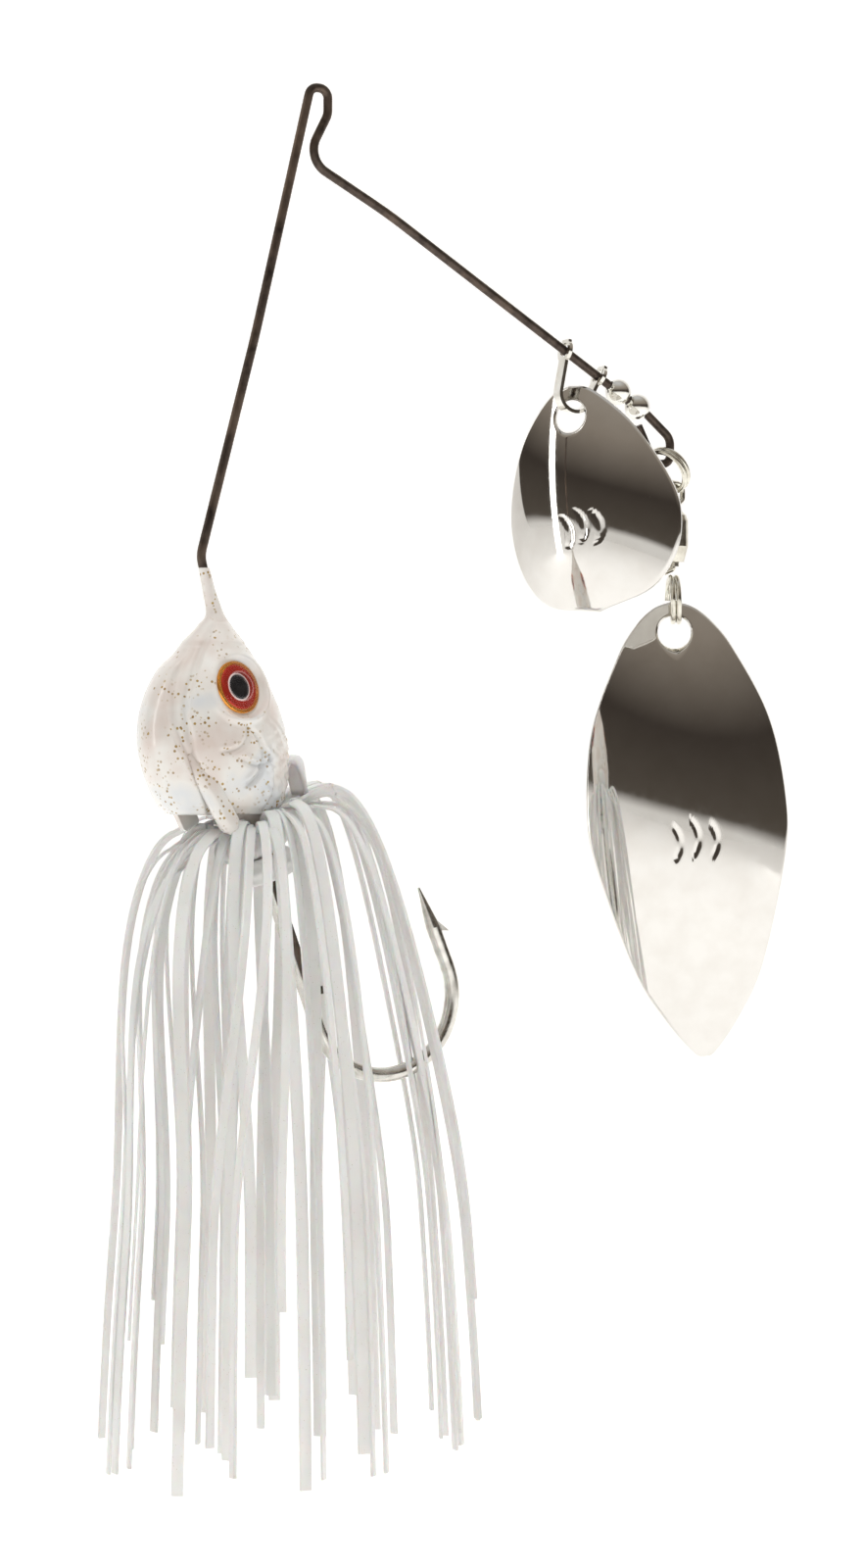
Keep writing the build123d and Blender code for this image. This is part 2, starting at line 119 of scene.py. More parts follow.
def wire_material():
    mat, tree, shader = material("dark_wire")
    shader.inputs["Metallic"].default_value = 0.85
    streak = texture(tree, "ShaderNodeTexNoise", Scale=900.0, Detail=7.0)
    worn = texture(tree, "ShaderNodeTexNoise", Scale=160.0, Detail=4.0)
    base = ramp(
        tree,
        streak.outputs["Fac"],
        [(0.3, (0.045, 0.034, 0.028, 1)), (0.7, (0.115, 0.088, 0.072, 1))],
    )
    rusty = ramp(tree, worn.outputs["Fac"], [(0.48, (0, 0, 0, 1)), (0.66, (1, 1, 1, 1))])
    tree.links.new(blend_colour(tree, rusty, base, (0.17, 0.125, 0.095, 1)), shader.inputs["Base Color"])
    tree.links.new(
        ramp(tree, streak.outputs["Fac"], [(0.3, (0.34,) * 3 + (1,)), (0.7, (0.52,) * 3 + (1,))]),
        shader.inputs["Roughness"],
    )
    bump(tree, shader, streak.outputs["Fac"], 0.25, 0.00003)
    return mat


def head_material():
    """Pearl paint with a slight colour play, gold glitter in clusters, clear coat."""
    mat, tree, shader = material("pearl_head")
    soft = texture(tree, "ShaderNodeTexNoise", Scale=170.0, Detail=3.0)
    pearl = ramp(
        tree,
        soft.outputs["Fac"],
        [(0.30, (0.70, 0.61, 0.56, 1)), (0.70, (0.66, 0.70, 0.74, 1)), (0.50, (0.80, 0.785, 0.75, 1))],
    )
    cells = texture(tree, "ShaderNodeTexVoronoi", Scale=2300.0, Randomness=1.0)
    cluster = texture(tree, "ShaderNodeTexNoise", Scale=330.0, Detail=2.0)
    spot = ramp(tree, cells.outputs["Distance"], [(0.30, (1, 1, 1, 1)), (0.36, (0, 0, 0, 1))])
    where = ramp(tree, cluster.outputs["Fac"], [(0.46, (0, 0, 0, 1)), (0.60, (1, 1, 1, 1))])
    pick = ramp(tree, cells.outputs["Color"], [(0.45, (0, 0, 0, 1)), (0.50, (1, 1, 1, 1))])
    speck = tree.nodes.new("ShaderNodeMath")
    speck.operation = "MULTIPLY"
    tree.links.new(spot, speck.inputs[0])
    tree.links.new(where, speck.inputs[1])
    chosen = tree.nodes.new("ShaderNodeMath")
    chosen.operation = "MULTIPLY"
    tree.links.new(speck.outputs[0], chosen.inputs[0])
    tree.links.new(pick, chosen.inputs[1])
    gold = ramp(tree, cells.outputs["Color"], [(0.2, (0.55, 0.38, 0.08, 1)), (0.8, (0.30, 0.19, 0.06, 1))])
    tree.links.new(blend_colour(tree, chosen.outputs[0], pearl, gold), shader.inputs["Base Color"])
    shader.inputs["Roughness"].default_value = 0.38
    shader.inputs["Metallic"].default_value = 0.12
    shader.inputs["Coat Weight"].default_value = 0.7
    shader.inputs["Coat Roughness"].default_value = 0.08
    shader.inputs["Sheen Weight"].default_value = 0.15
    bump(tree, shader, soft.outputs["Fac"], 0.25, 0.0003)
    return mat


def skirt_material():
    """Translucent pearl silicone with fine dark flake and a faint uneven surface."""
    mat, tree, shader = material("skirt_silicone")
    soft = texture(tree, "ShaderNodeTexNoise", Scale=120.0, Detail=3.0)
    base = ramp(tree, soft.outputs["Fac"], [(0.3, (0.86, 0.865, 0.855, 1)), (0.7, (0.96, 0.965, 0.96, 1))])
    flakes = texture(tree, "ShaderNodeTexVoronoi", Scale=2600.0)
    spot = ramp(tree, flakes.outputs["Distance"], [(0.06, (1, 1, 1, 1)), (0.11, (0, 0, 0, 1))])
    tree.links.new(blend_colour(tree, spot, base, (0.55, 0.50, 0.40, 1)), shader.inputs["Base Color"])
    shader.inputs["Roughness"].default_value = 0.36
    shader.inputs["Transmission Weight"].default_value = 0.30
    shader.inputs["IOR"].default_value = 1.41
    shader.inputs["Subsurface Weight"].default_value = 0.25
    shader.inputs["Subsurface Scale"].default_value = 0.001
    bump(tree, shader, soft.outputs["Fac"], 0.3, 0.0002)
    return mat


def plain(name, colour, roughness, **extra):
    mat, tree, shader = material(name)
    noise = texture(tree, "ShaderNodeTexNoise", Scale=700.0, Detail=5.0)
    shade = tuple(c * 0.86 for c in colour)
    tree.links.new(
        ramp(tree, noise.outputs["Fac"], [(0.35, (*shade, 1)), (0.65, (*colour, 1))]),
        shader.inputs["Base Color"],
    )
    shader.inputs["Roughness"].default_value = roughness
    for key, value in extra.items():
        shader.inputs[key.replace("_", " ")].default_value = value
    return mat


# ---------------------------------------------------------------- mesh helpers
def new_object(name, verts, faces, mats, smooth=True):
    mesh = bpy.data.meshes.new(name)
    mesh.from_pydata([tuple(v) for v in verts], [], faces)
    mesh.update()
    obj = bpy.data.objects.new(name, mesh)
    bpy.context.scene.collection.objects.link(obj)
    for mat in mats if isinstance(mats, (list, tuple)) else [mats]:
        mesh.materials.append(mat)
    if smooth:
        mesh.polygons.foreach_set("use_smooth", [True] * len(mesh.polygons))
    return obj


def paint_node(node, mat):
    obj = frame["nodes"][node]
    if not obj.material_slots:
        obj.data.materials.append(mat)
    for slot in obj.material_slots:
        slot.material = mat


def smoothstep(a, b, x):
    t = min(max((x - a) / (b - a), 0.0), 1.0)
    return t * t * (3 - 2 * t)


def smooth_step_through(before, a, b, after, t):
    """Catmull-Rom value between a and b, for numbers or vectors."""
    square = 2 * before - 5 * a + 4 * b - after
    cube = 3 * a - before - 3 * b + after
    return 0.5 * (2 * a + (b - before) * t + square * t**2 + cube * t**3)


def curve_at(points, x):
    """Smooth value through (x, value) points with rising or falling x."""
    xs = [p[0] for p in points]
    sign = 1 if xs[-1] > xs[0] else -1
    keys = [sign * k for k in xs]
    x = min(max(sign * x, keys[0]), keys[-1])
    i = max(k for k in range(len(keys) - 1) if keys[k] <= x)
    t = (x - keys[i]) / (keys[i + 1] - keys[i])
    values = [p[1] for p in points]
    before = values[i - 1] if i else 2 * values[i] - values[i + 1]
    after = values[i + 2] if i + 2 < len(values) else 2 * values[i + 1] - values[i]
    a, b = values[i], values[i + 1]
    return smooth_step_through(before, a, b, after, t)


# ---------------------------------------------------------------- head
# height: centre, half depth, half thickness, in millimetres, as the casting
HEAD_LEVELS = [
    (-49.9, -13.08, 0.56, 0.56),
    (-52.5, -12.42, 0.70, 0.70),
    (-54.6, -11.85, 0.95, 0.92),
    (-55.6, -11.85, 1.70, 1.30),
    (-57.4, -12.0, 3.35, 2.10),
    (-61.0, -12.5, 5.40, 3.75),
    (-64.2, -12.45, 6.80, 4.70),
    (-67.4, -12.2, 7.40, 5.15),
    (-70.4, -11.85, 7.25, 5.10),
    (-73.0, -11.5, 6.60, 4.70),
    (-75.0, -11.2, 5.70, 4.10),
]
# height: where the gill plate's edge and the jaw's edge cross the side
GILL_LINE = [
    (-55.5, -12.2), (-57.0, -13.2), (-59.2, -14.5), (-62.0, -15.9),
    (-64.6, -16.6), (-67.4, -16.3), (-69.8, -15.7), (-75.5, -12.6),
]
JAW_LINE = [
    (-58.5, -15.6), (-61.6, -17.6), (-65.4, -18.3), (-67.3, -17.8),
    (-69.2, -16.9), (-73.0, -15.2), (-75.5, -14.0),
]
EYE_AT = Vector((-11.15, 4.05, -62.2))
EYE_NORMAL = Vector((0.30, 0.92, 0.25)).normalized()


def head_relief(x, y, z):
    """How far the cast surface stands out or in at a point of the head, in millimetres."""
    if z > -55.5:
        return 0.0
    side = smoothstep(0.8, 2.2, abs(y))
    gill = curve_at(GILL_LINE, z)
    jaw = curve_at(JAW_LINE, z)
    out = 0.55 * smoothstep(gill - 0.16, gill + 0.16, x) * side
    out -= 0.16 * math.exp(-(((x - gill + 0.35) / 0.28) ** 2)) * side
    out += 0.45 * smoothstep(jaw + 0.14, jaw - 0.14, x) * smoothstep(-58.5, -60.5, z)
    out -= 0.12 * math.exp(-(((x - jaw - 0.3) / 0.25) ** 2)) * side
    # brow and raised ring around the eye
    away = math.hypot(x - EYE_AT.x, z - EYE_AT.z)
    out += 0.28 * math.exp(-(((away - 3.2) / 0.55) ** 2)) * side
    # crease lines of the cheek plate behind and below the eye
    for cx, cz, radius, start, stop, deep in (
        (-12.4, -69.2, 3.4, -70, 60, 0.30),
        (-11.2, -71.8, 3.9, -60, 70, 0.26),
        (-13.0, -66.4, 2.3, -110, 30, 0.20),
        (-9.6, -68.0, 2.1, -150, -20, 0.20),
    ):
        angle = math.degrees(math.atan2(z - cz, x - cx))
        if start < angle < stop:
            fade = smoothstep(start, start + 25, angle) * smoothstep(stop, stop - 25, angle)
            r = math.hypot(x - cx, z - cz)
            out -= 1.6 * deep * fade * math.exp(-(((r - radius) / 0.22) ** 2)) * side
            out += 0.6 * deep * fade * math.exp(-(((r - radius + 0.45) / 0.3) ** 2)) * side
    # small scales over the back edge
    if x > -9.5 and z < -64.5:
        fade = smoothstep(-9.5, -7.5, x) * smoothstep(-64.5, -67.0, z)
        out += 0.10 * fade * math.cos(x * 4.6 + math.sin(z * 2.1)) * math.cos(z * 4.2 + x)
    return out


def eye_seat(point):
    """Flatten the head under the eye, so that the foil disc lies on it."""
    side = 1 if point.y > 0 else -1
    normal = Vector((EYE_NORMAL.x, side * EYE_NORMAL.y, EYE_NORMAL.z))
    away = point - Vector((EYE_AT.x, side * EYE_AT.y, EYE_AT.z))
    above = away.dot(normal)
    radius = (away - normal * above).length
    if abs(above) > 2.5:
        return point
    return point - normal * (above + 0.05) * (1 - smoothstep(2.85, 3.7, radius))


def build_head(mat):
    around, along = 200, 230
    top, bottom = HEAD_LEVELS[0][0], HEAD_LEVELS[-1][0]
    verts, faces = [], []
    for j in range(along + 1):
        z = top + (bottom - top) * j / along
        centre = curve_at([(p[0], p[1]) for p in HEAD_LEVELS], z)
        a = curve_at([(p[0], p[2]) for p in HEAD_LEVELS], z)
        b = curve_at([(p[0], p[3]) for p in HEAD_LEVELS], z)
        # the rear rim rounds in over its last stretch
        rim = smoothstep(-74.2, -75.0, z)
        a, b = a * (1 - 0.06 * rim), b * (1 - 0.06 * rim)
        for i in range(around):
            t = 2 * math.pi * i / around
            full = 0.90 if z < -58 else 1.0
            cx, sy = math.cos(t), math.sin(t)
            px = math.copysign(abs(cx) ** full, cx)
            py = math.copysign(abs(sy) ** full, sy)
            normal = Vector((px / a, py / b, 0)).normalized()
            x, y = centre + a * px, b * py
            push = head_relief(x, y, z)
            verts.append(eye_seat(Vector((x + normal.x * push, y + normal.y * push, z))) * MM)
    for j in range(along):
        for i in range(around):
            k, n = j * around + i, j * around + (i + 1) % around
            faces.append((k, k + around, n + around, n))
    faces.append(tuple(range(around)))
    # recessed back face, where the skirt comes out
    last = along * around
    inner = len(verts)
    for i in range(around):
        v = verts[last + i]
        c = Vector((-11.0 * MM, 0, 0))
        verts.append(Vector((c.x + (v.x - c.x) * 0.86, v.y * 0.86, v.z - 0.15 * MM)))
    deep = len(verts)
    for i in range(around):
        v = verts[last + i]
        c = Vector((-9.6 * MM, 0, 0))
        verts.append(Vector((c.x + (v.x - c.x) * 0.45, v.y * 0.45, v.z + 0.9 * MM)))
    for i in range(around):
        n = (i + 1) % around
        faces.append((last + i, inner + i, inner + n, last + n))
        faces.append((inner + i, deep + i, deep + n, inner + n))
    faces.append(tuple(reversed(range(deep, deep + around))))
    head = new_object("head_casting", verts, faces, mat)
    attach(head, "frame")
    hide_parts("head")
    # pectoral flaps: a tapered bar with a facet down its length
    for side, name in ((-1, "left"), (1, "right")):
        flap(side, name, mat)
    # stem under the skirt collar
    stem_line = [Vector(p) * MM for p in ((-8.9, 0, -73.4), (-7.9, 0, -76.1), (-6.0, 0, -81.2))]
    stem = tube("head_stem", stem_line, 2.2 * MM, mat, taper=(1.0, 1.0, 0.9))
    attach(stem, "frame")


def flap(side, name, mat):
    start, stop = Vector((-16.3, side * 4.1, -68.9)), Vector((-12.1, side * 5.5, -76.9))
    ahead = (stop - start).normalized()
    out = Vector((-0.15, side, 0.15)).normalized()
    wide = ahead.cross(out).normalized()
    out = wide.cross(ahead).normalized() * (1 if out.dot(wide.cross(ahead)) > 0 else -1)
    rings, verts, faces = 34, [], []
    profile = [
        (-1.0, -0.9), (-1.0, 0.05), (-0.72, 0.36), (0.15, 0.62),
        (0.40, 0.56), (0.90, 0.20), (1.0, 0.0), (1.0, -0.9),
    ]
    for j in range(rings + 1):
        t = j / rings
        grow = (0.55 + 0.45 * smoothstep(0, 0.35, t)) * (1 - 0.55 * smoothstep(0.86, 1.0, t) ** 2)
        rise = (0.35 + 0.65 * smoothstep(0, 0.3, t)) * (1 - 0.45 * smoothstep(0.9, 1.0, t))
        centre = start + (stop - start) * t + out * 0.25 * math.sin(math.pi * t)
        for u, h in profile:
            verts.append((centre + wide * u * 1.05 * grow + out * h * rise) * MM)
    n = len(profile)
    for j in range(rings):
        for i in range(n):
            k = j * n + i
            m = j * n + (i + 1) % n
            faces.append((k, m, m + n, k + n))
    faces.append(tuple(reversed(range(n))))
    faces.append(tuple(range(rings * n, rings * n + n)))
    bar = new_object("flap_" + name, verts, faces, mat)
    bevel = bar.modifiers.new("soften", "BEVEL")
    bevel.width, bevel.segments, bevel.limit_method = 0.00012, 2, "ANGLE"
    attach(bar, "frame")


def tube(name, points, radius, mat, taper=None, sides=24, per=6):
    """Round bar along a smooth line through the points."""
    line = []
    for i in range(len(points) - 1):
        p0 = points[i - 1] if i else 2 * points[0] - points[1]
        p1, p2 = points[i], points[i + 1]
        p3 = points[i + 2] if i + 2 < len(points) else 2 * p2 - p1
        for k in range(per):
            t = k / per
            line.append(smooth_step_through(p0, p1, p2, p3, t))
    line.append(points[-1])
    verts, faces = [], []
    side = Vector((0, 1, 0))
    for j, p in enumerate(line):
        ahead = (line[min(j + 1, len(line) - 1)] - line[max(j - 1, 0)]).normalized()
        side = (side - ahead * side.dot(ahead)).normalized()
        up = ahead.cross(side)
        f = j / (len(line) - 1) * (len(taper) - 1) if taper else 0
        r = radius
        if taper:
            here, beyond = taper[int(f)], taper[min(int(f) + 1, len(taper) - 1)]
            r = radius * (here + (beyond - here) * (f - int(f)))
        for i in range(sides):
            a = 2 * math.pi * i / sides
            verts.append(p + (side * math.cos(a) + up * math.sin(a)) * r)
    for j in range(len(line) - 1):
        for i in range(sides):
            k, m = j * sides + i, j * sides + (i + 1) % sides
            faces.append((k, m, m + sides, k + sides))
    faces.append(tuple(reversed(range(sides))))
    faces.append(tuple(range(len(verts) - sides, len(verts))))
    return new_object(name, verts, faces, mat)


# ---------------------------------------------------------------- eyes
def build_eye(side, name, mats):
    """Foil disc with rim, red iris, pale ring and pupil, under a clear dome."""
    normal = Vector((EYE_NORMAL.x, side * EYE_NORMAL.y, EYE_NORMAL.z))
    at = Vector((EYE_AT.x, side * EYE_AT.y, EYE_AT.z)) + normal * 0.12
    up = (Vector((0.1, 0, 1)) - normal * normal.dot(Vector((0.1, 0, 1)))).normalized()
    across = up.cross(normal)
    gold, red, ring, pupil, dome = mats
    for label, r0, r1, lift, mat in (
        ("rim", 2.30, 2.74, 0.05, gold),
        ("iris", 1.45, 2.32, 0.09, red),
        ("ring", 1.28, 1.47, 0.11, ring),
        ("pupil", 0.0, 1.30, 0.13, pupil),
    ):
        sides, verts, faces = 72, [], []
        steps = 4
        for j in range(steps + 1):
            r = r0 + (r1 - r0) * j / steps
            for i in range(sides):
                a = 2 * math.pi * i / sides
                crown = lift + 0.05 * math.sin(math.pi * j / steps)
                verts.append((at + (across * math.cos(a) + up * math.sin(a)) * r + normal * crown) * MM)
        for j in range(steps):
            for i in range(sides):
                k, m = j * sides + i, j * sides + (i + 1) % sides
                faces.append((k, k + sides, m + sides, m))
        outer = len(verts)
        for i in range(sides):
            verts.append(verts[steps * sides + i] - normal * 0.35 * MM)
        for i in range(sides):
            k, m = steps * sides + i, steps * sides + (i + 1) % sides
            faces.append((k, outer + i, outer + (i + 1) % sides, m))
        disc = new_object("eye_%s_%s" % (label, name), verts, faces, mat)
        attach(disc, "frame")
        if label == "rim":
            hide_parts("eye_iris_" + name)
    sides, rings, verts, faces = 72, 18, [], []
    big, high = 2.76, 1.05
    radius = (big**2 + high**2) / (2 * high)
    for j in range(rings + 1):
        r = big * math.sin(math.pi / 2 * j / rings)
        z = math.sqrt(radius**2 - r**2) - (radius - high) + 0.16
        for i in range(sides):
            a = 2 * math.pi * i / sides
            verts.append((at + (across * math.cos(a) + up * math.sin(a)) * r + normal * z) * MM)
    for j in range(rings):
        for i in range(sides):
            k, m = j * sides + i, j * sides + (i + 1) % sides
            faces.append((k, k + sides, m + sides, m))
    clear = new_object("eye_clear_" + name, verts, faces, dome)
    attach(clear, "frame")
    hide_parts("eye_dome_" + name)


# ---------------------------------------------------------------- skirt
ROOT = Vector((-7.4, 0, -77.0))
# radius and height of a fully spread strand, from the skirt's root
STRAND_PROFILE = [
    (2.4, -0.4), (4.6, 1.6), (7.6, 2.5), (10.6, 1.0), (13.2, -4.0),
    (15.2, -12.0), (16.8, -24.0), (18.0, -38.0), (19.0, -52.0), (19.8, -68.0),
]
# flat strand with rounded edges, in half widths and half thicknesses
STRAND_SECTION = [
    (-1, -0.55), (-0.8, -1), (0.8, -1), (1, -0.55),
    (1, 0.55), (0.8, 1), (-0.8, 1), (-1, 0.55),
]
SHANK_LEAN = math.tan(math.radians(20.2))
SKIRT_DRIFT = math.radians(-28.0)


def strand_line(azimuth, spread, length, sway, drop):
    """Centre line of one strand: over the collar's rim, out, then hanging."""
    points = []
    steps = 90
    index = [(float(i), p[0]) for i, p in enumerate(STRAND_PROFILE)]
    level = [(float(i), p[1]) for i, p in enumerate(STRAND_PROFILE)]
    for k in range(steps + 1):
        t = k / steps
        f = t * (len(STRAND_PROFILE) - 1)
        r, z = curve_at(index, f), curve_at(level, f)
        hang = smoothstep(2.0, -40.0, z)
        r = 2.4 + (r - 2.4) * spread + 3.4 * hang * math.cos(azimuth - SKIRT_DRIFT)
        lift = SHANK_LEAN * math.cos(azimuth) * min(r, 9.0) * (1 - smoothstep(0.0, -30.0, z))
        z += lift - drop * smoothstep(2.5, 9.0, r)
        turn = azimuth + sway * hang
        p = ROOT + Vector((r * math.cos(turn), r * math.sin(turn), z))
        if p.z < ROOT.z - length:
            break
        points.append(p)
    return points


def build_strand(points, width, thick, roll, twist, mat, name):
    verts, faces = [], []
    n = len(points)
    for j, p in enumerate(points):
        t = j / (n - 1)
        ahead = (points[min(j + 1, n - 1)] - points[max(j - 1, 0)]).normalized()
        out = Vector((p.x - ROOT.x, p.y, 0)).normalized()
        out = (out - ahead * out.dot(ahead)).normalized()
        across = ahead.cross(out)
        angle = roll * smoothstep(0.05, 0.4, t) + twist * t
        a = across * math.cos(angle) + out * math.sin(angle)
        o = out * math.cos(angle) - across * math.sin(angle)
        w = width * (0.75 + 0.25 * smoothstep(0, 0.2, t)) / 2
        h = thick / 2
        for u, v in STRAND_SECTION:
            verts.append((p + a * w * u + o * h * v) * MM)
    for j in range(n - 1):
        for i in range(8):
            k, m = j * 8 + i, j * 8 + (i + 1) % 8
            faces.append((k, k + 8, m + 8, m))
    faces.append(tuple(range(8)))
    faces.append(tuple(reversed(range((n - 1) * 8, n * 8))))
    return new_object(name, verts, faces, mat, smooth=False)


def build_collar(mat):
    """Rubber band with two raised beads, rolled over the gathered skirt."""
    lean = math.radians(20.2)
    down = Vector((math.sin(lean), 0, -math.cos(lean)))
    side = Vector((0, 1, 0))
    across = down.cross(side)
    top = Vector((-7.56, 0, -77.05)) + down * 2.4
    around, steps, verts, faces = 96, 40, [], []
    for j in range(steps):
        turn = 2 * math.pi * j / steps
        level = 1.3 - 1.3 * math.cos(turn)
        outside = math.sin(turn)
        radius = 2.75 + 0.50 * outside
        if outside > 0:
            radius += 0.10 * outside * math.cos(level / 2.6 * 4 * math.pi)
        for i in range(around):
            a = 2 * math.pi * i / around
            nub = 0.03 * max(outside, 0.0) * math.cos(24 * a)
            outward = side * math.cos(a) + across * math.sin(a)
            verts.append((top + down * level + outward * (radius + nub)) * MM)
    for j in range(steps):
        for i in range(around):
            k, m = j * around + i, j * around + (i + 1) % around
            n = ((j + 1) % steps) * around
            faces.append((k, m, n + (i + 1) % around, n + i))
    band = new_object("skirt_band", verts, faces, mat)
    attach(band, "frame")
    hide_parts("skirt_collar")


def build_skirt(mat, collar_mat):
    count = 56
    for i in range(count):
        azimuth = 2 * math.pi * (i + rng.uniform(-0.35, 0.35)) / count
        spread = rng.choice([1.0, 0.97, 0.90, 0.80, 0.68, 0.52, 0.38]) * rng.uniform(0.95, 1.05)
        length = rng.choice([66, 64.5, 63, 62, 61, 64, 65, 62.5, 54, 49.5])
        if i % 9 == 4:
            length = rng.uniform(46, 52)
        if i == 41:
            length = 66.8
        length += rng.uniform(-0.9, 0.6)
        sway, drop = rng.uniform(-0.22, 0.22), rng.uniform(0.0, 2.6)
        width, thick = rng.uniform(0.80, 1.30), rng.uniform(0.30, 0.44)
        roll, twist = rng.uniform(-0.7, 0.7), rng.uniform(-0.7, 0.7)
        points = strand_line(azimuth, spread, length, sway, drop)
        strand = build_strand(points, width, thick, roll, twist, mat, "strand_%02d" % i)
        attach(strand, "frame")
    for n in range(12):
        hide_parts("skirt_bundle_%02d" % (n + 1))
    # gathered root: ribbed bunch under the collar
    around, rows, verts, faces = 120, 10, [], []
    for j in range(rows + 1):
        t = j / rows
        r = 2.25 + 1.7 * math.sin(math.pi * t) ** 0.6
        z = 1.2 - 3.6 * t
        for i in range(around):
            a = 2 * math.pi * i / around
            rr = r * (1 + 0.05 * math.cos(a * 30))
            x = rr * math.cos(a)
            verts.append((ROOT + Vector((x, rr * math.sin(a), z + x * SHANK_LEAN))) * MM)
    for j in range(rows):
        for i in range(around):
            k, m = j * around + i, j * around + (i + 1) % around
            faces.append((k, k + around, m + around, m))
    faces.append(tuple(range(around)))
    faces.append(tuple(reversed(range(rows * around, (rows + 1) * around))))
    root = new_object("skirt_gather", verts, faces, mat)
    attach(root, "frame")
    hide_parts("skirt_root")
    # folded tab of skirt material standing behind the head
    verts, faces, cols, rws = [], [], 16, 16
    for j in range(rws + 1):
        for i in range(cols + 1):
            u, v = i / cols * 2 - 1, j / rws
            bulge = math.sqrt(max(1 - u * u, 0)) * math.sin(math.pi * min(v * 0.9 + 0.1, 1))
            x = -5.0 + v * 2.6 + 1.0 * bulge
            z = -71.9 + 3.2 * math.sin(math.pi * v) * 0.8 + 0.5 * bulge - v * 1.2
            verts.append(Vector((x, u * 1.5, z)) * MM)
    for j in range(rws):
        for i in range(cols):
            k = j * (cols + 1) + i
            faces.append((k, k + 1, k + cols + 2, k + cols + 1))
    tab = new_object("skirt_tab", verts, faces, mat)
    solid = tab.modifiers.new("thick", "SOLIDIFY")
    solid.thickness = 0.0005
    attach(tab, "frame")
    build_collar(collar_mat)


# ---------------------------------------------------------------- blades
def blade_frame(face, up):
    face, up = Vector(face).normalized(), Vector(up).normalized()
    return up.cross(face).normalized(), up, face


def dish(x, y, cross_r, long_r, crest):
    drop = cross_r - math.sqrt(cross_r**2 - x * x)
    rise = long_r - math.sqrt(long_r**2 - crest**2)
    return rise - long_r + math.sqrt((long_r - drop) ** 2 - (y - crest) ** 2)


def outline(half, top, bottom, count):
    """Closed smooth outline as (x, y) points, clockwise from the top."""
    right = [(0.0, top)] + list(half) + [(0.0, bottom)]
    keys = [(float(i), p[0]) for i, p in enumerate(right)]
    rows = [(float(i), p[1]) for i, p in enumerate(right)]
    line = []
    for k in range(count + 1):
        f = (len(right) - 1) * k / count
        line.append((max(curve_at(keys, f), 0.0), curve_at(rows, f)))
    left = [(-x, y) for x, y in reversed(line[1:-1])]
    return line + left


def groove(x, y, mark_at, size):
    """Generic stamp: three crescents side by side, pressed into the face."""
    deep = 0.0
    for n in (-1, 0, 1):
        cx, cy = mark_at[0] + n * size * 0.62, mark_at[1] + abs(n) * size * -0.12
        r = math.hypot(x - cx + size * 0.9, y - cy)
        angle = abs(math.degrees(math.atan2(y - cy, x - cx + size * 0.9)))
        if angle < 48:
            width = 0.26 * math.cos(math.radians(angle * 90 / 48))
            deep += 0.16 * math.exp(-(((r - size * 0.9) / max(width, 0.02)) ** 2))
    return deep


def build_blade(name, node, body, hole, face, up, half, ends, hole_d, radii, crest, thick, mark, mat):
    across, up, face = blade_frame(face, up)
    edge = outline(half, ends[0], ends[1], 110)
    count = len(edge)
    rings = 120
    r_hole = hole_d / 2
    verts, faces = [], []

    def place(x, y, lift, stamped=True):
        h = dish(x, y, radii[0], radii[1], crest) + lift
        if stamped:
            h -= groove(x, y, mark[0], mark[1])
        return (hole + across * x + up * y + face * h) * MM

    # rows run from the hole out to the rim, closer together near the rim
    angles = [math.atan2(p[0], p[1]) for p in edge]
    for layer, lift in ((0, 0.0), (1, -thick)):
        for j in range(rings + 1):
            t = (j / rings) ** 0.85
            for i in range(count):
                ex, ey = edge[i]
                hx, hy = r_hole * math.sin(angles[i]), r_hole * math.cos(angles[i])
                x, y = hx + (ex - hx) * t, hy + (ey - hy) * t
                rim = math.hypot(ex - x, ey - y)
                lip = math.hypot(x - hx, y - hy)
                soft = 0.14 * (math.exp(-((rim / 0.12) ** 2)) + math.exp(-((lip / 0.12) ** 2)))
                verts.append(place(x, y, lift + (-soft if layer == 0 else soft)))
    size = (rings + 1) * count
    for j in range(rings):
        for i in range(count):
            k, m = j * count + i, j * count + (i + 1) % count
            faces.append((k, k + count, m + count, m))
            k, m = k + size, m + size
            faces.append((k, m, m + count, k + count))
    for i in range(count):
        n = (i + 1) % count
        faces.append((i, n, size + n, size + i))
        a, b = rings * count + i, rings * count + n
        faces.append((a, size + a, size + b, b))
    blade = new_object(name, verts, faces, mat)
    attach(blade, body)
    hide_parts(node)
    return blade


# right half of each blade's outline: half width and height, from the hole's centre
COLORADO_HALF = [
    (2.3, 2.75), (5.0, 0.2), (7.3, -3.0), (9.5, -8.0),
    (10.15, -12.0), (9.1, -16.4), (6.0, -19.9),
]
WILLOW_HALF = [
    (2.1, 2.8), (4.2, 1.0), (6.5, -2.4), (9.9, -10.2), (11.1, -19.0),
    (10.5, -25.6), (7.1, -37.3), (4.1, -42.9), (1.2, -46.7),
]
# hole centres, from the swing axes' centres
COLORADO_SHIFT = Vector((-0.32, 0, -0.48))
RING_R, RING_WIRE, LINK_GAP, HOLE_PLAY, WILLOW_HOLE_D = 2.48, 0.58, 0.23, 0.22, 3.7
WILLOW_SHIFT = Vector((0, 0, -RING_R + RING_WIRE / 2 + LINK_GAP + HOLE_PLAY - WILLOW_HOLE_D / 2))

